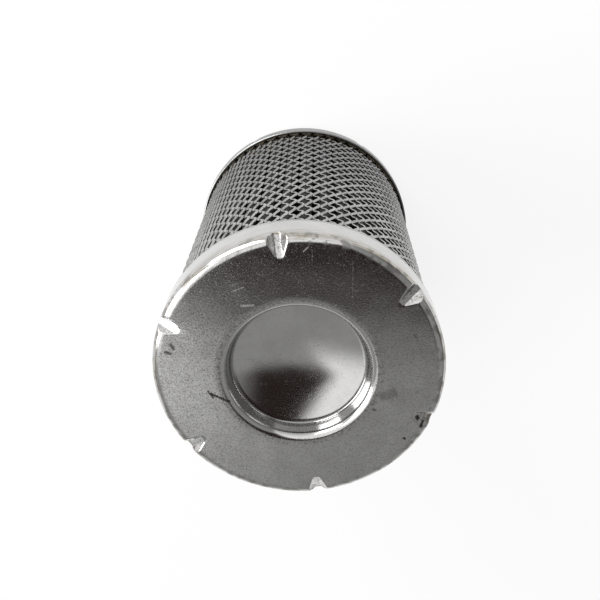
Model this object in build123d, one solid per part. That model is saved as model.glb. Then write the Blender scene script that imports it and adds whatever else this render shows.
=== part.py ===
from build123d import *
from math import pi, radians, sqrt, tan
import os

# Pressure line filter element, standing on its open end with +Z along its axis.
# The origin is the centre of the open end's outer face. Sizes are in millimetres.

# Overall sizes
element_length = 102.0      # from outer face to outer face of the two end caps
cap_radius = 34.0           # outside of the end caps' skirts

# End caps, both stamped from sheet of one thickness
cap_sheet = 0.8
cap_corner = 2.0            # outside radius between a cap's face and its skirt
skirt_height = 10.0         # from the closed cap's outer face to its skirt's free edge
open_skirt_height = 5.5     # the same on the open cap, which is shallower

# Six dents pressed into each cap's corner, which lock the cap on the resin
dent_count = 6
dent_reach = 4.1            # how far a dent runs in over the face
dent_drop = 3.9             # how far it runs down the skirt
dent_floor = 1.5            # width of its floor
dent_flank = 42.0           # slope of its sides, in degrees from the punch's direction
dent_nose = 0.3             # rounding of the floor's edges
closed_dent_start = 40.5    # angle of the first dent about Z
open_dent_start = 59.5

# Core tube, rolled from perforated sheet
core_bore_radius = 18.5
core_wall = 0.8
core_hole_radius = 2.8
core_hole_columns = 10
core_hole_rows = 10

# Recess in the closed cap, whose rounding centres it in the core tube
recess_depth = 4.4
recess_wall_angle = 80.0    # slope of the recess wall, in degrees from the face
recess_top_round = 1.8
recess_foot_round = 0.6
ledge_width = 0.55          # from the foot of the wall to the edge of the dish
dish_sag = 2.1              # how far the dished floor bulges into the element

# Seal in the open cap
o_ring_section = 2.62
seal_nip = 0.2              # how far the seal stands proud of the bore
carrier_sheet = 0.8
bore_chamfer = 0.3

# Outer guard of expanded metal, with raised strands
guard_thickness = 1.2
guard_columns = 15
guard_rows = 8
strand_width = 3.4
crest_width = 1.8           # width of the raised crest along each strand
crest_height = 0.5

# Pleated pack, sheet by sheet from the outside in
pleat_count = 40
support_mesh_thickness = 0.25
fleece_thickness = 0.2
medium_thickness = 0.4
pleat_inner_bend = 0.2      # inside radius of the innermost sheet at a fold
seam_clip_thickness = 0.3
seam_clip_depth = 5.0       # length of the clip's legs over the two ends of the pack

# Resin rings
potting_depth = 3.6
potting_corner = 1.5

# Clearances
sheet_gap = 0.03            # between neighbouring sheets of the pack
seat_gap = 0.05             # between pieces that sit in or on each other
core_gap = 0.1              # between the core tube and what it is centred on
guard_gap = 0.15            # between the guard and the skirts

# Sizes that follow from the ones above
skirt_inner = cap_radius - cap_sheet
plug_radius = core_bore_radius - core_gap
recess_radius = plug_radius - recess_top_round * tan(radians(recess_wall_angle) / 2)
ledge_radius = recess_radius - recess_depth / tan(radians(recess_wall_angle))
dish_radius = ledge_radius - ledge_width
core_outer = core_bore_radius + core_wall
guard_outer = skirt_inner - guard_gap
guard_inner = guard_outer - guard_thickness
pack_bottom = cap_sheet + potting_depth
pack_top = element_length - pack_bottom
sheet_stack = {
    "outer_support_mesh": support_mesh_thickness,
    "outer_fleece": fleece_thickness,
    "filter_medium": medium_thickness,
    "inner_fleece": fleece_thickness,
    "inner_support_mesh": support_mesh_thickness,
}
pack_thickness = sum(sheet_stack.values()) + sheet_gap * (len(sheet_stack) - 1)
fold_radius = pack_thickness / 2 + pleat_inner_bend
pleat_outer = guard_inner - core_gap - seam_clip_thickness - sheet_gap
pleat_inner = core_outer + core_gap
outer_fold_centre = pleat_outer - fold_radius - pack_thickness / 2
inner_fold_centre = pleat_inner + fold_radius + pack_thickness / 2
seal_outer = core_bore_radius - seat_gap - carrier_sheet
seal_inner = seal_outer - o_ring_section
bore_radius = seal_inner + seal_nip
groove_depth = o_ring_section + 2 * seat_gap


def spun(section):
    """A solid of revolution about Z from a section drawn as (radius, height)."""
    return revolve(Plane.XZ * section, Axis.Z)


def tube(outer, inner, bottom, top):
    """A plain tube about Z between two heights."""
    body = Cylinder(outer, top - bottom) - Cylinder(inner, top - bottom)
    return Pos(0, 0, (top + bottom) / 2) * body


def to_closed_end(piece):
    """Moves a piece drawn face up at height zero to the closed end."""
    return Pos(0, 0, element_length) * piece


def to_open_end(piece):
    """Turns a piece drawn face up at height zero over to the open end."""
    return Rot(180, 0, 0) * piece


def dent_wedges(start, margin):
    """Six wedges over a cap's corner, each grown by the margin on every side."""
    length = sqrt(dent_reach**2 + dent_drop**2)
    run = Vector(dent_reach, 0, -dent_drop) / length
    foot = Vector(cap_radius - dent_reach, 0, 0) - run * length
    half_floor = dent_floor / 2
    half_mouth = half_floor + length * tan(radians(dent_flank))
    outline = Polyline(
        (-half_floor, 0),
        (half_floor, 0),
        (half_mouth, length),
        (-half_mouth, length),
        close=True,
    )
    section = make_face(outline)
    section = fillet(section.vertices().group_by(Axis.Y)[0], dent_nose)
    if margin > 0:
        section = offset(section, margin)
    wedge = extrude(Plane(origin=foot, x_dir=(0, 1, 0), z_dir=run) * section, 3 * length)
    return [Rot(0, 0, start + 360 / dent_count * k) * wedge for k in range(dent_count)]


def half_section(line):
    """The region between the axis and a line that runs from it outwards and down the skirt."""
    start = line[0] @ 0
    end = line[-1] @ 1
    return make_face([*line, *Polyline(end, (0, end.Y), start).edges()])


def stamped_cap(outside, inside, start, skirt):
    """A sheet cap between its outer and inner section lines, with the dents worked into both."""
    form = spun(half_section(outside)) - dent_wedges(start, 0)
    hollow = spun(half_section(inside)) - dent_wedges(start, cap_sheet)
    below = Pos(0, 0, -skirt - skirt_height) * Cylinder(2 * cap_radius, 2 * skirt_height)
    return form - hollow - below


def rim_points(depth):
    """The corner over the skirt and the skirt's lower end, at a depth under the outer surface."""
    edge = cap_radius - depth
    return [(edge, -depth), (edge, -2 * skirt_height)]


def recess_line(depth):
    """The closed cap's section line at a depth under its outer surface."""
    sphere = (dish_radius**2 + dish_sag**2) / (2 * dish_sag)
    centre = sphere - recess_depth - dish_sag
    ledge = -recess_depth - depth
    wall_shift = depth * tan(radians(recess_wall_angle) / 2)
    dish_edge = sqrt((sphere + depth) ** 2 - (centre - ledge) ** 2)
    corners = [(dish_edge, ledge), (ledge_radius + wall_shift, ledge), (recess_radius + wall_shift, -depth)]
    rounds = [recess_foot_round, recess_top_round - depth, cap_corner - depth]
    dish = RadiusArc((0, centre - sphere - depth), corners[0], -sphere - depth)
    edge = FilletPolyline(*corners, *rim_points(depth), radius=rounds)
    return [dish, *edge.edges()]


def flat_line(depth):
    """The open cap's section line at a depth under its outer surface."""
    return FilletPolyline((0, -depth), *rim_points(depth), radius=cap_corner - depth).edges()


def closed_end_cap():
    """Flat rim, steep recess wall, narrow ledge and dished floor, with a skirt."""
    sections = recess_line(0), recess_line(cap_sheet)
    return to_closed_end(stamped_cap(*sections, closed_dent_start, skirt_height))


def open_end_cap():
    """A shallower cap with a bore in place of the recess."""
    mouth = Polyline(
        (0, 0),
        (bore_radius + bore_chamfer, 0),
        (bore_radius, -bore_chamfer),
        (bore_radius, -2 * cap_sheet),
        (0, -2 * cap_sheet),
        close=True,
    )
    plain = stamped_cap(flat_line(0), flat_line(cap_sheet), open_dent_start, open_skirt_height)
    return to_open_end(plain - spun(make_face(mouth)))


def core_tube():
    """The support tube between the cap faces, with staggered round holes."""
    body = tube(core_outer, core_bore_radius, cap_sheet, element_length - cap_sheet)
    first = skirt_height
    pitch = (element_length - 2 * skirt_height) / (core_hole_rows - 1)
    turn = 360 / core_hole_columns
    punch = Rot(0, 90, 0) * Cylinder(core_hole_radius, 4 * core_wall)
    holes = [
        Rot(0, 0, turn * (column + row % 2 / 2)) * Pos(core_bore_radius, 0, first + pitch * row) * punch
        for row in range(core_hole_rows)
        for column in range(core_hole_columns)
    ]
    return body - holes


def guard_openings(width):
    """Diamond prisms that leave strands of the given width between them."""
    pitch = 2 * pi * guard_outer / guard_columns
    row_step = (element_length - skirt_height - open_skirt_height) / (guard_rows + 1)
    slope = sqrt(pitch**2 + (2 * row_step) ** 2) / 2
    half_width = pitch / 2 - width * slope / (2 * row_step)
    half_height = row_step - width * slope / pitch
    outline = Polyline((half_width, 0), (0, half_height), (-half_width, 0), (0, -half_height), close=True)
    prism = extrude(Plane.YZ * make_face(outline), 3 * guard_thickness)
    prism = Pos(guard_inner - guard_thickness, 0, 0) * prism
    turn = 360 / guard_columns
    return [
        Rot(0, 0, turn * (column + row % 2 / 2)) * Pos(0, 0, open_skirt_height + row_step * (row + 1)) * prism
        for row in range(guard_rows)
        for column in range(guard_columns)
    ]


def outer_guard():
    """The expanded-metal sleeve: a wall of crossing strands, each with a raised crest."""
    crest_foot = guard_outer - crest_height
    wall = tube(crest_foot, guard_inner, pack_bottom, pack_top)
    crest = tube(guard_outer, crest_foot, pack_bottom, pack_top)
    return (wall - guard_openings(strand_width)) + (crest - guard_openings(crest_width))


def fold_points(shift):
    """Contact points of one flank with its outer and inner fold, for a line shifted outwards."""
    outer = Vector(outer_fold_centre, 0)
    inner = Vector(inner_fold_centre, 0).rotate(Axis.Z, 180 / pleat_count)
    across = inner - outer
    along = across / across.length
    share = 2 * fold_radius / across.length
    normal = along * share + Vector(along.Y, -along.X) * sqrt(1 - share**2)
    return outer + normal * (fold_radius + shift), inner - normal * (fold_radius - shift)


def pleat_line(shift):
    """The closed zigzag of the pack, shifted outwards from its middle."""
    top, foot = fold_points(shift)
    top_before = Vector(top.X, -top.Y)
    crown = Vector(outer_fold_centre + fold_radius + shift, 0)
    valley = Vector(inner_fold_centre - fold_radius + shift, 0).rotate(Axis.Z, 180 / pleat_count)
    foot_after = Vector(foot.X, -foot.Y).rotate(Axis.Z, 360 / pleat_count)
    next_top = top_before.rotate(Axis.Z, 360 / pleat_count)
    pleat = [
        ThreePointArc(top_before, crown, top),
        Line(top, foot),
        ThreePointArc(foot, valley, foot_after),
        Line(foot_after, next_top),
    ]
    return Wire([edge.rotate(Axis.Z, 360 / pleat_count * k) for k in range(pleat_count) for edge in pleat])


def pleated_sheet(outer_shift, thickness):
    """One sheet of the pack between the two resin rings."""
    section = make_face(pleat_line(outer_shift)) - make_face(pleat_line(outer_shift - thickness))
    return Pos(0, 0, pack_bottom) * extrude(section, pack_top - pack_bottom)


def pleated_pack():
    """All sheets of the pack by name, from the outside in."""
    sheets = {}
    shift = pack_thickness / 2
    for name, thickness in sheet_stack.items():
        sheets[name] = pleated_sheet(shift, thickness)
        shift -= thickness + sheet_gap
    return sheets


def pleat_seam_clip():
    """A folded strip over one pleat, which grips the two ends of the pack."""
    inner_shift = pack_thickness / 2 + sheet_gap
    outer_shift = inner_shift + seam_clip_thickness
    inner_top, _ = fold_points(inner_shift)
    outer_top, outer_foot = fold_points(outer_shift)
    leg = (outer_foot - outer_top).normalized() * seam_clip_depth
    outline = [
        *strip_side(outer_top, leg, outer_shift),
        *strip_side(inner_top, leg, inner_shift),
        Line(outer_top + leg, inner_top + leg),
        Line(below_axis(outer_top + leg), below_axis(inner_top + leg)),
    ]
    return Pos(0, 0, pack_bottom) * extrude(make_face(outline), pack_top - pack_bottom)


def strip_side(top, leg, shift):
    """One side of the strip: a leg, the bend over the fold and the other leg."""
    crown = Vector(outer_fold_centre + fold_radius + shift, 0)
    return [
        Line(below_axis(top + leg), below_axis(top)),
        ThreePointArc(below_axis(top), crown, top),
        Line(top, top + leg),
    ]


def below_axis(point):
    """The mirror image of a point of the plan in the fold's middle line."""
    return Vector(point.X, -point.Y)


def potting(start):
    """A resin ring in the bottom of a cap, notched where the dents reach into it."""
    outer = skirt_inner - seat_gap
    ring = tube(outer, core_outer + seat_gap, -pack_bottom, -cap_sheet)
    ring = fillet(ring.edges().group_by(Axis.Z)[-1].sort_by(SortBy.RADIUS)[-1], potting_corner)
    return ring - dent_wedges(start, cap_sheet + seat_gap)


def seal_carrier():
    """A pressed ring that holds the seal behind the open cap's bore."""
    outer = core_bore_radius - seat_gap
    top = cap_sheet + groove_depth + carrier_sheet
    shell = tube(outer, bore_radius, cap_sheet, top)
    return shell - tube(seal_outer, bore_radius - seat_gap, cap_sheet, cap_sheet + groove_depth)


def o_ring():
    """The seal in its groove."""
    ring = Torus(seal_outer - o_ring_section / 2, o_ring_section / 2)
    return Pos(0, 0, cap_sheet + groove_depth / 2) * ring


def build():
    """All pieces of the element by node name."""
    pieces = {
        "closed_end_cap": closed_end_cap(),
        "open_end_cap": open_end_cap(),
        "core_tube": core_tube(),
        "outer_guard": outer_guard(),
        "pleat_seam_clip": pleat_seam_clip(),
        "closed_end_potting": to_closed_end(potting(closed_dent_start)),
        "open_end_potting": to_open_end(potting(open_dent_start)),
        "seal_carrier": seal_carrier(),
        "o_ring": o_ring(),
    }
    pieces.update(pleated_pack())
    return pieces


os.makedirs("parts", exist_ok=True)
for name, piece in build().items():
    export_step(piece, f"parts/{name}.step")
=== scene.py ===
import math
import bpy
from mathutils import Matrix, Vector, noise


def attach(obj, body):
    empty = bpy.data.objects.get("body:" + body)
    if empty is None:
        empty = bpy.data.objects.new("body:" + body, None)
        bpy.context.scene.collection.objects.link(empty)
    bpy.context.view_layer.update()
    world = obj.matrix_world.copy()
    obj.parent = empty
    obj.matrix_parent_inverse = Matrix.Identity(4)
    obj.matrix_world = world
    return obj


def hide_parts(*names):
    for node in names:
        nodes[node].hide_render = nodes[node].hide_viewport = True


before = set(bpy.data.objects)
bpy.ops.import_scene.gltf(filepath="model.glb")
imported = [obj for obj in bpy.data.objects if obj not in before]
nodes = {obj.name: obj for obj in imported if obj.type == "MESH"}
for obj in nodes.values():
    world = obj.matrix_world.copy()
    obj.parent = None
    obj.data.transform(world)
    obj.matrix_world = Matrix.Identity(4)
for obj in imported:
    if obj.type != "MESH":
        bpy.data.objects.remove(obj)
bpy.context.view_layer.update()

mm = 0.001
scene = bpy.context.scene


class Soc:
    # a node socket that takes part in ordinary sums

    def __init__(self, tree, socket):
        self.tree = tree
        self.socket = socket

    def __add__(self, other):
        return self.tree.maths("ADD", self, other)

    def __radd__(self, other):
        return self.tree.maths("ADD", other, self)

    def __sub__(self, other):
        return self.tree.maths("SUBTRACT", self, other)

    def __rsub__(self, other):
        return self.tree.maths("SUBTRACT", other, self)

    def __mul__(self, other):
        return self.tree.maths("MULTIPLY", self, other)

    def __rmul__(self, other):
        return self.tree.maths("MULTIPLY", other, self)

    def __truediv__(self, other):
        return self.tree.maths("DIVIDE", self, other)

    def lower(self, other):
        return self.tree.maths("MINIMUM", self, other)

    def higher(self, other):
        return self.tree.maths("MAXIMUM", self, other)

    def size(self):
        return self.tree.maths("ABSOLUTE", self)

    def step(self, start, end, low=0.0, high=1.0):
        # a smooth rise from low to high between two values
        settings = {"interpolation_type": "SMOOTHSTEP", "clamp": True}
        inputs = {"Value": self, "From Min": start, "From Max": end, "To Min": low, "To Max": high}
        return self.tree.node("ShaderNodeMapRange", settings, inputs)

    def part(self, axis):
        return self.tree.node("ShaderNodeSeparateXYZ", {}, {0: self}, axis)


class Tree:
    # the nodes of one material, of the world or of one modifier

    def __init__(self, nodeTree):
        self.nodeTree = nodeTree

    def node(self, kind, settings=None, inputs=None, out=0):
        made = self.nodeTree.nodes.new(kind)
        for name, value in (settings or {}).items():
            setattr(made, name, value)
        for name, value in (inputs or {}).items():
            if isinstance(value, Soc):
                self.nodeTree.links.new(value.socket, made.inputs[name])
            else:
                made.inputs[name].default_value = value
        return Soc(self, made.outputs[out])

    def maths(self, operation, *values):
        return self.node("ShaderNodeMath", {"operation": operation}, dict(enumerate(values)))

    def join(self, x, y, z):
        return self.node("ShaderNodeCombineXYZ", {}, {0: x, 1: y, 2: z})

    def vector(self, operation, *values, out=0):
        return self.node("ShaderNodeVectorMath", {"operation": operation}, dict(enumerate(values)), out)

    def mix(self, factor, first, second):
        # colours, by the sockets of Mix that hold them
        made = self.nodeTree.nodes.new("ShaderNodeMix")
        made.data_type = "RGBA"
        for index, value in ((0, factor), (6, first), (7, second)):
            if isinstance(value, Soc):
                self.nodeTree.links.new(value.socket, made.inputs[index])
            elif index == 0:
                made.inputs[index].default_value = value
            else:
                made.inputs[index].default_value = (*value, 1.0)
        return Soc(self, made.outputs[2])

    def place(self, stretch=(1, 1, 1)):
        # object coordinates in millimetres, stretched where a pattern runs one way
        spot = self.node("ShaderNodeTexCoord", {}, {}, 3)
        return self.vector("MULTIPLY", spot, tuple(1000 * part for part in stretch))

    def noise(self, where, scale, detail=2.0, rough=0.5):
        inputs = {"Vector": where, "Scale": scale, "Detail": detail, "Roughness": rough}
        return self.node("ShaderNodeTexNoise", {}, inputs)

    def cells(self, where, scale, out=0):
        return self.node("ShaderNodeTexVoronoi", {}, {"Vector": where, "Scale": scale}, out)

    def bump(self, height, distance, strength=1.0):
        inputs = {"Height": height, "Distance": distance, "Strength": strength}
        return self.node("ShaderNodeBump", {}, inputs)


def newMaterial(name, fixed):
    # a Principled material: its tree, and a call that wires what varies
    material = bpy.data.materials.new(name)
    material.use_nodes = True
    shader = material.node_tree.nodes["Principled BSDF"]
    for socket, value in fixed.items():
        shader.inputs[socket].default_value = value
    tree = Tree(material.node_tree)

    def wire(**links):
        for socket, value in links.items():
            material.node_tree.links.new(value.socket, shader.inputs[socket.replace("_", " ")])

    return material, tree, wire


# the camera, turned so that the standing element is seen as it lies in the photo
camera = {
    "place": (0.44 * mm, -95.03 * mm, 269.52 * mm),
    "tilt": 24.5,            # from straight down, in degrees
    "roll": 2.47,
    "lens": 50.04,
    "sensor": 36.0,
}


def makeCamera(s):
    tilt = math.radians(s["tilt"])
    roll = math.radians(s["roll"])
    back = Vector((0, -math.sin(tilt), math.cos(tilt)))
    up = Vector((0, -math.cos(tilt), -math.sin(tilt)))
    right = Vector((-1, 0, 0))
    turnedRight = math.cos(roll) * right + math.sin(roll) * up
    turnedUp = -math.sin(roll) * right + math.cos(roll) * up
    data = bpy.data.cameras.new("camera")
    data.lens = s["lens"]
    data.sensor_width = s["sensor"]
    data.clip_start = 0.005
    eye = bpy.data.objects.new("camera", data)
    axes = Matrix((turnedRight, turnedUp, back)).transposed()
    eye.matrix_world = Matrix.Translation(s["place"]) @ axes.to_4x4()
    scene.collection.objects.link(eye)
    scene.camera = eye


makeCamera(camera)
print("camera placed")


# floor, room and lamps
studio = {
    "floorSize": 6.0,
    "floorColour": (0.86, 0.86, 0.86),
    "floorGlow": 0.84,           # share of the floor that stays white in shadow
    "skyHigh": (0.29, 0.29, 0.285),
    "skyLow": (0.60, 0.60, 0.60),
    "skyFar": (0.22, 0.22, 0.22),
    "glowSide": (0.11, 0.28),    # edges of the bright window, as slopes from straight up
    "glowBack": (0.46, 0.84),
    "darkSide": (0.19, 0.275),   # edges of the dark part overhead
    "darkBack": (0.43, 0.545),
    "skew": 0.5,                 # how far the window leans in, before and behind that edge
    "darkOther": (0.24, 0.50),   # the same away from the window
    "darkFront": (-0.8, -0.62),
    "darkColour": (0.020, 0.013, 0.011),
    "windowPlace": (0.80, 0.05, 0.62),
    "windowSize": (0.55, 0.9),
    "windowPower": 7.0,
    "fillPlace": (0.62, -0.72, 0.55),
    "fillSize": (0.5, 0.5),
    "fillPower": 6.0,
}


def makeFloor(s):
    half = s["floorSize"] / 2
    mesh = bpy.data.meshes.new("floor")
    corners = [(-half, -half, 0), (half, -half, 0), (half, half, 0), (-half, half, 0)]
    mesh.from_pydata(corners, [], [(0, 1, 2, 3)])
    floor = bpy.data.objects.new("floor", mesh)
    scene.collection.objects.link(floor)
    material = bpy.data.materials.new("paleFloor")
    material.use_nodes = True
    tree = Tree(material.node_tree)
    material.node_tree.nodes.remove(material.node_tree.nodes["Principled BSDF"])
    seen = tree.node("ShaderNodeLightPath", {}, {}, 0)
    glossy = tree.node("ShaderNodeLightPath", {}, {}, 3)
    through = tree.node("ShaderNodeLightPath", {}, {}, 6)
    matt = tree.node("ShaderNodeBsdfDiffuse", {}, {"Color": (*s["floorColour"], 1)})
    glow = tree.node("ShaderNodeEmission", {}, {"Color": (1, 1, 1, 1), "Strength": 1.0})
    share = seen.higher(glossy).higher(through) * s["floorGlow"]
    surface = tree.node("ShaderNodeMixShader", {}, {0: share, 1: matt, 2: glow})
    output = material.node_tree.nodes["Material Output"]
    material.node_tree.links.new(surface.socket, output.inputs["Surface"])
    mesh.materials.append(material)


def makeSky(s):
    world = bpy.data.worlds.new("room")
    world.use_nodes = True
    scene.world = world
    tree = Tree(world.node_tree)
    toward = tree.node("ShaderNodeTexCoord", {}, {}, 0)
    height = toward.part(2)
    slopeX = toward.part(0) / height.higher(0.02)
    slopeY = toward.part(1) / height.higher(0.02)
    leaned = slopeX + (slopeY - s["darkBack"][0]).size() * s["skew"]
    low = tree.mix(toward.part(0).step(-0.9, -0.1), s["skyFar"], s["skyLow"])
    sky = tree.mix(height.step(0.05, 0.5), low, s["skyHigh"])
    glow = leaned.step(*s["glowSide"]) * (1.0 - slopeY.step(*s["glowBack"]))
    sky = tree.mix(glow, sky, (1.0, 1.0, 1.0))
    past = [((value - start) * (1 / (end - start))).higher(0.0)
            for value, (start, end) in ((leaned, s["darkSide"]), (slopeY, s["darkBack"]),
                                        (0.0 - slopeX, s["darkOther"]))]
    reach = tree.vector("LENGTH", tree.join(*past), out=1)
    spot = (1.0 - reach.step(0.0, 1.0)) * slopeY.step(*s["darkFront"]) * height.step(0.1, 0.3)
    sky = tree.mix(spot, sky, s["darkColour"])
    background = world.node_tree.nodes["Background"]
    world.node_tree.links.new(sky.socket, background.inputs["Color"])


def makeLamp(name, place, size, power):
    data = bpy.data.lights.new(name, "AREA")
    data.shape = "RECTANGLE"
    data.size, data.size_y = size
    data.energy = power
    lamp = bpy.data.objects.new(name, data)
    aim = Vector(place) - Vector((0, 0, 0.06))
    lamp.matrix_world = Matrix.Translation(place) @ aim.to_track_quat("Z", "Y").to_matrix().to_4x4()
    scene.collection.objects.link(lamp)


makeFloor(studio)
makeSky(studio)
makeLamp("window", studio["windowPlace"], studio["windowSize"], studio["windowPower"])
makeLamp("fill", studio["fillPlace"], studio["fillSize"], studio["fillPower"])
scene.view_settings.view_transform = "Standard"
print("surroundings made")


# finishes
sheetFinish = {
    "colour": (0.74, 0.735, 0.73),
    "dull": (0.52, 0.51, 0.50),
    "grime": (0.06, 0.05, 0.042),
    "rough": 0.085,
    "skirtShade": 0.27,          # how far rubbing darkens the skirt
    "recessPaintedShade": 0.72,           # and how far painted shade darkens the recess wall
    "stain": 0.8,                # stained bands just below the corner
    "stainEdge": (97.5, 99.5),
    "stainColour": (0.34, 0.30, 0.22),
    # marks on the flat rim: from, to, width and strength, black and then pale
    "blackMarks": (((20.3, 6.3), (15.9, 8.3), 0.42, 1.0), ((20.9, 5.7), (19.7, 7.4), 0.3, 0.9),
                   ((-28.2, 10.2), (-28.7, 11.2), 0.6, 1.0), ((-29.3, 12.9), (-29.9, 11.8), 0.6, 1.0),
                   ((-25.6, 16.2), (-26.0, 16.5), 0.4, 1.0), ((30.7, -4.2), (29.3, -3.8), 0.5, 0.8),
                   ((29.4, -6.3), (28.7, -5.0), 0.5, 0.8), ((-25.5, -11.3), (-26.2, -10.6), 0.4, 0.6),
                   ((-19.2, 5.4), (-22.8, 3.6), 1.6, 0.3), ((-17.7, 8.6), (-18.4, 8.9), 0.4, 0.7)),
    "paleMarks": (((15.5, -20.0), (13.1, -21.1), 0.12, 0.5), ((15.4, -21.5), (14.2, -22.1), 0.1, 0.3),
                  ((0.1, -30.2), (-0.8, -31.2), 0.14, 0.7), ((-10.6, -28.2), (-11.2, -19.2), 0.09, 0.22),
                  ((13.4, -16.6), (10.7, -16.9), 0.35, 0.4), ((-1.7, -30.6), (-1.8, -27.8), 0.08, 0.25)),
}
# the open cap: a duller copy of the plated sheet, its colour darkened further as painted shade at the far
# end
openFinishDullAndShaded = dict(sheetFinish, colour=(0.34, 0.34, 0.335), dull=(0.22, 0.22, 0.215), rough=0.26, stain=0.0,
                  blackMarks=(), paleMarks=())


def lineMarks(tree, spot, marks):
    # straight scratches in plan, with ragged edges
    ragged = (tree.noise(spot, 3.5, 2.0, 0.7) - 0.5) * 1.5
    total = 0.0
    for start, end, width, strength in marks:
        run = Vector(end) - Vector(start)
        unit = run.normalized()
        x = spot.part(0) - start[0]
        y = spot.part(1) - start[1]
        along = x * unit.x + y * unit.y
        aside = (y * unit.x - x * unit.y + ragged * (width + 0.3)).size()
        beyond = (along - run.length / 2).size() - run.length / 2
        total = (1.0 - aside.step(width * 0.4, width)) * (1.0 - beyond.step(0.0, 0.3)) * strength + total
    return total


def stampedSheet(name, s):
    # bright plated sheet with a fine grain, rubbed patches and handling marks, and painted shade on the
    # recess wall
    material, tree, wire = newMaterial(name, {"Metallic": 1.0})
    spot = tree.place()
    height = spot.part(2)
    wide = tree.vector("LENGTH", tree.join(spot.part(0), spot.part(1), 0.0), out=1)
    flat = (1.0 - wide.step(31.9, 32.6)) * wide.step(17.6, 18.4)
    skirt = wide.step(33.0, 33.5)
    leftSide = spot.part(0).step(2.0, 26.0)
    grain = tree.noise(spot, 2.6, 3.0, 0.75)
    patches = tree.noise(spot, 0.16, 4.0, 0.6)
    flecks = tree.noise(spot, 1.5, 2.0, 0.7).step(0.56, 0.72)
    pits = tree.noise(spot, 1.9, 3.0, 0.75).step(0.60, 0.67) * (0.25 + leftSide * 0.55) * flat
    spots = 1.0 - tree.cells(spot, 0.55).step(0.03, 0.12)
    spots = spots * tree.noise(spot, 0.3, 1.0).step(0.52, 0.62)
    rimGrime = wide.step(31.2, 33.2) * height.step(99.0, 101.6) * tree.noise(spot, 0.5, 3.0).step(0.46, 0.6)
    ring = 1.0 - (wide - 18.7).size().step(0.1, 1.4)
    seatGrime = ring * tree.noise(spot, 1.6, 4.0, 0.75).step(0.50, 0.60)
    shade = (patches.step(0.35, 0.7) * 0.35 + flecks * 0.35).lower(1.0)
    colour = tree.mix(shade, s["colour"], s["dull"])
    deep = tuple(part * 0.4 for part in s["colour"])
    # painted shade: the steep wall of the recess is darkened all round
    wall = wide.step(15.4, 15.8) * (1.0 - wide.step(16.7, 17.5)) * height.step(95.0, 97.0)
    colour = tree.mix(wall * s["recessPaintedShade"], colour, tuple(part * 0.25 for part in s["colour"]))
    colour = tree.mix(grain.step(0.46, 0.64) * (0.5 + leftSide * 0.25) * flat, colour, deep)
    glints = tree.noise(tree.vector("ADD", spot, (40.0, 0.0, 0.0)), 2.9, 2.0, 0.7).step(0.60, 0.70) * flat
    around = skirtPlace(tree, spot)
    rubs = tree.noise(tree.vector("MULTIPLY", around, (0.25, 1.0, 6.0)), 1.0, 3.0, 0.65).step(0.45, 0.7)
    colour = tree.mix(skirt * (rubs * 0.6 + 0.4) * s["skirtShade"] * 2.0, colour, deep)
    bands = tree.noise(tree.vector("MULTIPLY", around, (1.0, 1.0, 9.0)), 0.35, 3.0, 0.6)
    stain = bands.step(0.5, 0.6) * height.step(*s["stainEdge"]) * wide.step(32.4, 33.2) * s["stain"]
    colour = tree.mix(stain, colour, s["stainColour"])
    pressed = tree.node("ShaderNodeAttribute", {"attribute_name": "pressed"}, {}, 2)
    dentGrime = pressed * tree.noise(spot, 1.3, 3.0, 0.7).step(0.50, 0.60)
    edgeDirt = wide.step(33.0, 33.6) * height.step(99.6, 100.1) * (1.0 - height.step(100.3, 101.1))
    edgeDirt = edgeDirt * spot.part(1).step(-4.0, 14.0) * (0.3 + grain.step(0.40, 0.55) * 0.4)
    dirt = rimGrime * 0.5 + seatGrime * 0.6 + spots * 0.6 + pits * 0.8
    dirt = (dirt + dentGrime * 0.5 + edgeDirt).lower(1.0)
    if s["blackMarks"]:
        dirt = dirt.higher(lineMarks(tree, spot, s["blackMarks"])).lower(1.0)
    colour = tree.mix(dirt, colour, s["grime"])
    rough = s["rough"] + patches * 0.07 + flat * 0.01 + flecks * 0.06 + dirt * 0.3 + glints * 0.15
    if s["paleMarks"]:
        pale = lineMarks(tree, spot, s["paleMarks"]).lower(1.0)
        rough = rough + pale * 0.45
    relief = grain * (0.35 + flat * 0.5) + flecks * 0.25
    wire(Base_Color=colour, Roughness=rough, Normal=tree.bump(relief, 0.02 * mm, 0.5))
    return material


def skirtPlace(tree, spot):
    # round the axis, out from it and up it: a pattern that follows the skirt
    angle = tree.maths("ARCTAN2", spot.part(1), spot.part(0))
    wide = tree.vector("LENGTH", tree.join(spot.part(0), spot.part(1), 0.0), out=1)
    return tree.join(angle * 8.0, wide, spot.part(2))


def strandMetal(name):
    # drawn strands with speckled dirt, darkened towards the open end by painted shade, with painted shade
    # and dark resin at their foot
    material, tree, wire = newMaterial(name, {"Metallic": 1.0})
    spot = tree.place()
    patches = tree.noise(spot, 0.22, 4.0, 0.6)
    grain = tree.noise(spot, 2.6, 3.0, 0.7)
    colour = tree.mix(patches.step(0.35, 0.68), (0.56, 0.56, 0.555), (0.38, 0.38, 0.37))
    colour = tree.mix(grain.step(0.54, 0.66) * 0.8, colour, (0.10, 0.098, 0.095))
    # painted shade: the strands grow darker towards the open end
    far = 1.0 - spot.part(2).step(10.0, 90.0)
    colour = tree.mix(far * 0.62, colour, (0.13, 0.13, 0.128))
    # painted shade of the open cap's rim and its gap, together with dark resin, on the lowest strands
    foot = 1.0 - spot.part(2).step(6.2, 8.4)
    colour = tree.mix(foot * 0.85, colour, (0.03, 0.028, 0.026))
    rough = 0.16 + grain * 0.2
    wire(Base_Color=colour, Roughness=rough, Normal=tree.bump(grain, 0.04 * mm, 0.5))
    return material


screen = {
    "round": 75.0,           # waves of the weave in a radian round the axis
    "along": 12.0,           # and in a millimetre up it
}


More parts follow.
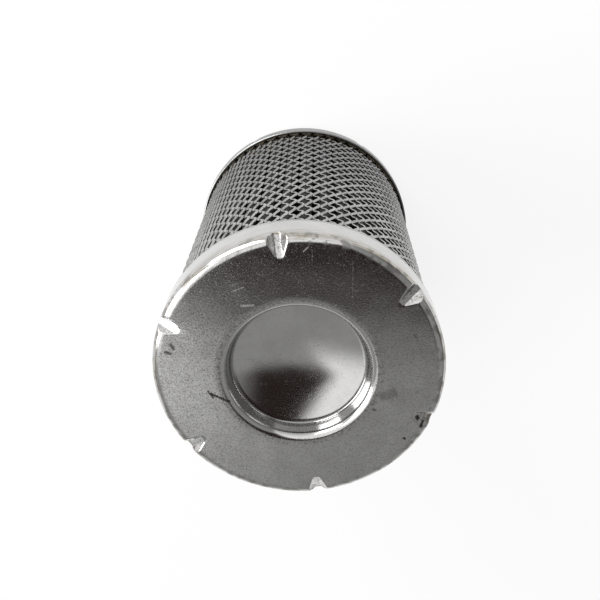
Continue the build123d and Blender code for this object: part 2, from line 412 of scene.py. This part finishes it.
def wireCloth(name, colour, dark, metal):
    # a fine woven screen: threads both ways, with dark pores
    material, tree, wire = newMaterial(name, {"Metallic": metal, "Roughness": 0.55})
    spot = tree.place()
    angle = tree.maths("ARCTAN2", spot.part(1), spot.part(0))
    weave = tree.maths("SINE", angle * screen["round"]) * tree.maths("SINE", spot.part(2) * screen["along"])
    weave = weave * 0.5 + 0.5
    shade = weave.step(0.25, 0.75) * (0.7 + tree.noise(spot, 0.3, 2.0) * 0.5)
    tone = tree.mix(shade.lower(1.0), dark, colour)
    wire(Base_Color=tone, Normal=tree.bump(weave, 0.04 * mm, 0.4))
    return material


def plainSteel(name, colour, rough):
    material, tree, wire = newMaterial(name, {"Metallic": 1.0, "Roughness": rough})
    spot = tree.place()
    grain = tree.noise(tree.place((1, 1, 0.15)), 2.5, 3.0, 0.6)
    patches = tree.noise(spot, 0.18, 3.0, 0.6)
    dull = tuple(part * 0.66 for part in colour)
    wire(Base_Color=tree.mix(patches.step(0.35, 0.7), colour, dull), Roughness=rough - 0.06 + grain * 0.14,
         Normal=tree.bump(grain, 0.03 * mm, 0.4))
    return material


def softSheet(name, colour, fibre):
    material, tree, wire = newMaterial(name, {"Roughness": 0.85})
    hairs = tree.noise(tree.place((1, 1, 3)), fibre, 5.0, 0.7)
    pale = tuple(min(1.0, part * 1.12) for part in colour)
    deep = tuple(part * 0.72 for part in colour)
    wire(Base_Color=tree.mix(hairs.step(0.3, 0.7), deep, pale), Normal=tree.bump(hairs, 0.05 * mm, 0.5))
    return material


def castResin(name):
    material, tree, wire = newMaterial(name, {"Roughness": 0.4, "Coat Roughness": 0.2})
    spot = tree.place()
    flow = tree.noise(spot, 0.25, 3.0, 0.5)
    bubbles = 1.0 - tree.cells(spot, 0.8).step(0.05, 0.2)
    wire(Base_Color=tree.mix(flow.step(0.3, 0.7), (0.20, 0.16, 0.11), (0.28, 0.23, 0.16)),
         Roughness=0.35 + flow * 0.2, Normal=tree.bump(flow - bubbles * 0.4, 0.08 * mm, 0.4))
    return material


def sealRubber(name):
    material, tree, wire = newMaterial(name, {"Roughness": 0.5})
    spot = tree.place()
    bloom = tree.noise(spot, 0.5, 4.0, 0.6)
    wire(Base_Color=tree.mix(bloom.step(0.4, 0.75), (0.012, 0.012, 0.013), (0.05, 0.05, 0.052)),
         Roughness=0.4 + bloom * 0.25, Normal=tree.bump(tree.noise(spot, 6.0, 2.0), 0.01 * mm, 0.4))
    return material


finishes = {
    "cap_steel": stampedSheet("cap_steel_plated", sheetFinish),
    "open_cap_steel": stampedSheet("cap_steel_dull_shaded", openFinishDullAndShaded),
    "guard_steel": strandMetal("guard_strands"),
    "core_steel": plainSteel("core_sheet", (0.66, 0.66, 0.65), 0.34),
    "dark_wire_cloth": wireCloth("dark_screen", (0.02, 0.02, 0.02), (0.004, 0.004, 0.004), 0.2),
    "bright_wire_cloth": wireCloth("bright_screen", (0.55, 0.55, 0.54), (0.05, 0.05, 0.05), 0.9),
    "fleece": softSheet("white_fleece", (0.78, 0.77, 0.74), 1.6),
    "glass_fibre": softSheet("filter_paper", (0.82, 0.80, 0.72), 2.4),
    "clip_steel": plainSteel("clip_sheet", (0.60, 0.60, 0.59), 0.36),
    "potting_resin": castResin("resin_rings"),
    "seal_rubber": sealRubber("black_seal"),
}
nodeSlots = {
    "core_tube": "core_steel",
    "seal_carrier": "core_steel",
    "outer_support_mesh": "dark_wire_cloth",
    "inner_support_mesh": "bright_wire_cloth",
    "outer_fleece": "fleece",
    "inner_fleece": "fleece",
    "filter_medium": "glass_fibre",
    "pleat_seam_clip": "clip_steel",
    "closed_end_potting": "potting_resin",
    "open_end_potting": "potting_resin",
    "o_ring": "seal_rubber",
}
for node, slot in nodeSlots.items():
    mesh = nodes[node].data
    mesh.materials.clear()
    mesh.materials.append(finishes[slot])
print("finishes made")


# the expanded-metal sleeve round the pleats
guard = {
    "columns": 54,           # openings round the sleeve
    "longPitch": 5.83,       # from opening to opening along the axis
    "strandWidth": 0.8,
    "strandThickness": 0.42,
    "faceTilt": -20.0,       # how far each strand's face leans sideways, in degrees
    "jointOverlap": 0.45,    # between the middles of two strands where they are joined
    "strandRise": 0.45,      # from a strand's inner bends to its outer bends
    "outside": 33.04,
    "bottom": 4.42,
    "top": 97.58,
    "firstOpening": 80.0,    # height of one opening's centre
    "firstAngle": -89.37,    # and its angle about the axis
    "pointsPerHalf": 4,      # points along a strand between two joints
}


def strandProfile(tree, width, thickness, tilt):
    # a flat hexagon stretched to the strand's width, leaning by the tilt
    ring = tree.node("GeometryNodeCurvePrimitiveCircle", {}, {"Resolution": 6, "Radius": 1.0})
    where = tree.node("GeometryNodeInputPosition")
    broad = where.part(0) * (1.0 + 0.88 * (1.0 - where.part(0).size())) * (width / 2)
    deep = where.part(1) * (thickness * 0.577)
    cosine = math.cos(math.radians(tilt))
    sine = math.sin(math.radians(tilt))
    moved = tree.join(broad * cosine - deep * sine, broad * sine + deep * cosine, 0.0)
    return tree.node("GeometryNodeSetPosition", {}, {"Geometry": ring, "Position": moved})


def expandedMetal(s):
    group = bpy.data.node_groups.new("expandedMetal", "GeometryNodeTree")
    group.interface.new_socket(name="Geometry", in_out="INPUT", socket_type="NodeSocketGeometry")
    names = ("long pitch", "strand width", "strand thickness", "outside", "bottom", "top", "first opening")
    for name in names:
        group.interface.new_socket(name=name, in_out="INPUT", socket_type="NodeSocketFloat")
    group.interface.new_socket(name="Geometry", in_out="OUTPUT", socket_type="NodeSocketGeometry")
    tree = Tree(group)
    given = group.nodes.new("NodeGroupInput")
    size = {name: Soc(tree, given.outputs[name]) for name in names}
    width = size["strand width"]
    lean = math.radians(abs(s["faceTilt"]))
    shift = s["strandRise"] * mm
    across = width * math.sin(lean) + size["strand thickness"] * math.cos(lean) + shift
    middle = size["outside"] - across / 2
    pitch = middle * (2 * math.pi / s["columns"])
    travel = pitch / 2 - s["jointOverlap"] * mm
    halfLong = size["long pitch"] / 2
    halves = round((s["top"] - s["bottom"]) / (s["longPitch"] / 2) * s["pointsPerHalf"])
    profile = strandProfile(tree, width, size["strand thickness"], s["faceTilt"])
    pair = []
    for parity in (0, 1):
        start = tree.join(size["bottom"], 0.0, 0.0)
        end = tree.join(size["top"], 0.0, 0.0)
        line = tree.node("GeometryNodeCurvePrimitiveLine", {}, {"Start": start, "End": end})
        line = tree.node("GeometryNodeResampleCurve", {}, {"Curve": line, "Count": halves})
        where = tree.node("GeometryNodeInputPosition")
        swing = (where.part(0) - size["first opening"]) / halfLong + 1.0 - parity
        swing = tree.maths("PINGPONG", swing, 1.0).step(0.1, 0.9)
        side = (swing - 0.5) * travel + pitch * (0.25 + 0.5 * parity)
        moved = tree.join(where.part(0), side, (swing - 0.5) * shift)
        line = tree.node("GeometryNodeSetPosition", {}, {"Geometry": line, "Position": moved})
        line = tree.node("GeometryNodeSetCurveNormal", {"mode": "Z_UP"}, {"Curve": line})
        pair.append(tree.node("GeometryNodeCurveToMesh", {},
                              {"Curve": line, "Profile Curve": profile, "Fill Caps": True}))
    both = group.nodes.new("GeometryNodeJoinGeometry")
    for strand in pair:
        group.links.new(strand.socket, both.inputs[0])
    row = tree.node("GeometryNodeMeshLine", {"mode": "OFFSET"},
                    {"Count": s["columns"], "Offset": tree.join(0.0, pitch, 0.0)})
    repeated = {"Points": row, "Instance": Soc(tree, both.outputs[0])}
    sheet = tree.node("GeometryNodeInstanceOnPoints", {}, repeated)
    sheet = tree.node("GeometryNodeRealizeInstances", {}, {"Geometry": sheet})
    where = tree.node("GeometryNodeInputPosition")
    angle = math.radians(s["firstAngle"]) - where.part(1) / middle
    radius = middle + where.part(2)
    x = radius * tree.maths("COSINE", angle)
    y = radius * tree.maths("SINE", angle)
    rolled = tree.join(x, y, where.part(0))
    sheet = tree.node("GeometryNodeSetPosition", {}, {"Geometry": sheet, "Position": rolled})
    sheet = tree.node("GeometryNodeSetShadeSmooth", {}, {"Geometry": sheet, "Shade Smooth": True})
    finished = {"Geometry": sheet, "Material": finishes["guard_steel"]}
    sheet = tree.node("GeometryNodeSetMaterial", {}, finished)
    output = group.nodes.new("NodeGroupOutput")
    group.links.new(sheet.socket, output.inputs[0])
    values = {
        "long pitch": s["longPitch"] * mm,
        "strand width": s["strandWidth"] * mm,
        "strand thickness": s["strandThickness"] * mm,
        "outside": s["outside"] * mm,
        "bottom": s["bottom"] * mm,
        "top": s["top"] * mm,
        "first opening": s["firstOpening"] * mm,
    }
    return group, values


def plainMesh(name, group, values):
    # runs the tree on an empty mesh and keeps its result as a mesh of its own
    holder = bpy.data.objects.new(name + "Holder", bpy.data.meshes.new(name + "Holder"))
    scene.collection.objects.link(holder)
    modifier = holder.modifiers.new("shape", "NODES")
    modifier.node_group = group
    for item in group.interface.items_tree:
        if item.in_out == "INPUT" and item.name in values:
            modifier[item.identifier] = values[item.name]
    evaluated = holder.evaluated_get(bpy.context.evaluated_depsgraph_get())
    mesh = bpy.data.meshes.new_from_object(evaluated)
    holder.modifiers.remove(modifier)
    bpy.data.objects.remove(holder)
    piece = bpy.data.objects.new(name, mesh)
    mesh.name = name
    scene.collection.objects.link(piece)
    return piece


sleeve = plainMesh("guardSleeve", *expandedMetal(guard))
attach(sleeve, "root")
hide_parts("outer_guard")
print("guard sleeve:", len(sleeve.data.polygons), "faces")


# the two stamped end caps
cap = {
    "radius": 34.0,
    "sheet": 0.8,
    "corner": 2.0,
    "closedSkirt": 10.0,
    "openSkirt": 5.5,
    "length": 102.0,
    "recessMouth": 18.4,     # where the flat rim starts to round over into the recess
    "recessDepth": 4.4,
    "wallSlope": 80.0,
    "lipRound": 1.8,
    "footRound": 0.6,
    "ledge": 0.55,
    "dishSag": 2.1,
    "boreRadius": 15.23,
    "boreChamfer": 0.3,
    "wave": 0.02,            # how far the sheet is out of true
    "waveLength": 6.0,
}
dent = {
    "count": 6,
    "closedStart": 40.5,
    "openStart": 0.5,
    "reach": 5.0,
    "drop": 2.7,
    "floor": 1.5,
    "flank": 42.0,
    "soft": 0.22,            # easing where a dent meets the sheet
    "floorEdge": 0.35,       # easing between its floor and its flanks
    "floorEase": 1.4,
    "fullPress": 1.2,        # pressed by this much, the sheet counts as wholly pressed
    "fineStep": 0.3,         # degrees between sections across a dent
    "wideStep": 1.6,
    "half": 5.4,
}


def roundedLine(corners, rounds, step):
    # a line through the corners, with each bend rounded and each run cut to short steps
    points = [Vector(corners[0])]
    for index in range(1, len(corners)):
        here = Vector(corners[index])
        if index < len(corners) - 1 and rounds[index] > 0:
            before = (points[-1] - here).normalized()
            after = (Vector(corners[index + 1]) - here).normalized()
            half = before.angle(after) / 2
            back = rounds[index] / math.tan(half)
            centre = here + (before + after).normalized() * (rounds[index] / math.sin(half))
            first = here + before * back - centre
            last = here + after * back - centre
            turn = first.angle_signed(last)
            count = max(4, round(abs(math.degrees(turn)) / 9))
            arc = [centre + Matrix.Rotation(-turn * k / count, 2) @ first for k in range(count + 1)]
        else:
            arc = [here]
        points += runPoints(points[-1], arc[0], step)[:-1] + arc
    return points


def runPoints(start, end, step):
    # fine where the dents reach, coarse elsewhere
    count = max(1, round((end - start).length / step((start + end) / 2)))
    if (end - start).length > 6:
        return runPoints(start, (start + end) / 2, step) + runPoints((start + end) / 2, end, step)
    return [start.lerp(end, k / count) for k in range(1, count + 1)]


sectionStep = {
    "outer": (0.2, 1.2),     # fine and wide steps along the outer line
    "inner": (0.6, 3.0),
    "outerReach": 28.5,      # the dents, and the fine steps, lie further out than this
    "innerReach": 28.0,
    "foot": -5.5,            # and above this
}


def lineStep(middle):
    fine, wide = sectionStep["outer"]
    return fine if middle.x > sectionStep["outerReach"] and middle.y > sectionStep["foot"] else wide


def hollowStep(middle):
    fine, wide = sectionStep["inner"]
    return fine if middle.x > sectionStep["innerReach"] and middle.y > sectionStep["foot"] else wide


def dishArc(s, edge, depth, count):
    sphere = (edge ** 2 + s["dishSag"] ** 2) / (2 * s["dishSag"])
    top = sphere - s["recessDepth"] - s["dishSag"]
    lean = math.acos((top + s["recessDepth"] + depth) / (sphere + depth))
    reach = sphere + depth
    angles = [lean * k / count for k in range(count + 1)]
    return [Vector((reach * math.sin(angle), top - reach * math.cos(angle))) for angle in angles]


def pressDents(r, z, angle, start, depth):
    # moves a point of the cap's section in to the floor or flank of the dent it lies in;
    # the last value returned says how far it was pressed
    width = 360 / dent["count"]
    offset = (angle - start + width / 2) % width - width / 2
    if abs(offset) > dent["half"] + 1:
        return r, z, angle, 0.0
    side = r * math.sin(math.radians(offset))
    reach = r * math.cos(math.radians(offset))
    length = math.hypot(dent["reach"], dent["drop"])
    outR = dent["drop"] / length
    outZ = dent["reach"] / length
    level = (reach - cap["radius"] + dent["reach"]) * outR + z * outZ
    flank = math.tan(math.radians(dent["flank"]))
    half = dent["floor"] / 2 + depth * math.tan(math.radians(45 - dent["flank"] / 2))
    floor = max(0.0, abs(side) - half) / flank - depth
    floor = floor + max(0.0, dent["floorEdge"] - abs(abs(side) - half)) ** 2 / dent["floorEase"]
    excess = level - floor
    soft = dent["soft"]
    pressed = excess if excess > soft else (max(0.0, excess + soft) ** 2) / (4 * soft)
    reach -= pressed * outR
    newR = math.hypot(reach, side)
    newOffset = math.degrees(math.atan2(side, reach))
    mark = min(1.0, pressed / dent["fullPress"])
    return newR, z - pressed * outZ, angle + newOffset - offset, mark


def capAngles(start):
    angles = []
    width = 360 / dent["count"]
    fine = round(2 * dent["half"] / dent["fineStep"])
    wide = round((width - 2 * dent["half"]) / dent["wideStep"])
    for k in range(dent["count"]):
        low = start + width * k - dent["half"]
        angles += [low + 2 * dent["half"] * i / fine for i in range(fine)]
        angles += [low + 2 * dent["half"] + (width - 2 * dent["half"]) * i / wide for i in range(wide)]
    return angles


def makeCap(name, outside, inside, start, bored, upright):
    # spins the two section lines round the axis, with the dents worked in
    angles = capAngles(start)
    loops = [(point, 0.0) for point in outside] + [(point, cap["sheet"]) for point in reversed(inside)]
    poles = not bored
    if poles:
        first, last = loops[0][0], loops[-1][0]
        loops = loops[1:-1]
    vertices = []
    marks = []
    for point, depth in loops:
        for angle in angles:
            r, z, turned, mark = pressDents(point.x, point.y, angle, start, depth)
            x = r * math.cos(math.radians(turned))
            y = r * math.sin(math.radians(turned))
            z += cap["wave"] * noise.noise(Vector((x, y, z)) / cap["waveLength"])
            vertices.append((x * mm, y * mm, (cap["length"] + z if upright else -z) * mm))
            marks.append(mark)
    count = len(angles)
    faces = []
    rows = len(loops)
    for row in range(rows if bored else rows - 1):
        below = (row + 1) % rows
        for k in range(count):
            after = (k + 1) % count
            face = (row * count + k, below * count + k, below * count + after, row * count + after)
            faces.append(face if upright else face[::-1])
    if poles:
        for end, row in ((first, 0), (last, rows - 1)):
            centre = len(vertices)
            vertices.append((0, 0, (cap["length"] + end.y if upright else -end.y) * mm))
            marks.append(0.0)
            for k in range(count):
                after = (k + 1) % count
                face = (centre, row * count + k, row * count + after)
                faces.append(face if (row == 0) == upright else face[::-1])
    mesh = bpy.data.meshes.new(name)
    mesh.from_pydata(vertices, [], faces)
    mesh.shade_smooth()
    layer = mesh.attributes.new("pressed", "FLOAT", "POINT")
    layer.data.foreach_set("value", marks)
    mesh.materials.append(finishes["cap_steel" if upright else "open_cap_steel"])
    piece = bpy.data.objects.new(name, mesh)
    scene.collection.objects.link(piece)
    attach(piece, "root")
    print(name + ":", len(faces), "faces")
    return piece


def closedLine(s, depth):
    # flat rim, lip, steep wall, narrow ledge and dish, at a depth under the outer face
    slope = math.tan(math.radians(s["wallSlope"] / 2))
    mouth = s["recessMouth"] - s["lipRound"] * slope
    foot = mouth - s["recessDepth"] / math.tan(math.radians(s["wallSlope"]))
    edge = s["radius"] - depth
    dish = dishArc(s, foot - s["ledge"], depth, 26 if depth == 0 else 10)
    corners = [dish[-1], (foot + depth * slope, -s["recessDepth"] - depth), (mouth + depth * slope, -depth),
               (edge, -depth), (edge, -s["closedSkirt"])]
    rounds = [0, s["footRound"], s["lipRound"] - depth, s["corner"] - depth, 0]
    return dish[:-1] + roundedLine(corners, rounds, lineStep if depth == 0 else hollowStep)


def openLine(s, depth):
    edge = s["radius"] - depth
    start = [(s["boreRadius"] + s["boreChamfer"], 0)] if depth == 0 else [(s["boreRadius"], -depth)]
    corners = start + [(edge, -depth), (edge, -s["openSkirt"])]
    points = roundedLine(corners, [0, s["corner"] - depth, 0], lineStep if depth == 0 else hollowStep)
    if depth == 0:
        points.insert(0, Vector((s["boreRadius"], -s["boreChamfer"])))
    return points


closedCap = makeCap("closedCap", closedLine(cap, 0), closedLine(cap, cap["sheet"]),
                    dent["closedStart"], False, True)
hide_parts("closed_end_cap")
openCap = makeCap("openCap", openLine(cap, 0), openLine(cap, cap["sheet"]),
                  dent["openStart"], True, False)
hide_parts("open_end_cap")
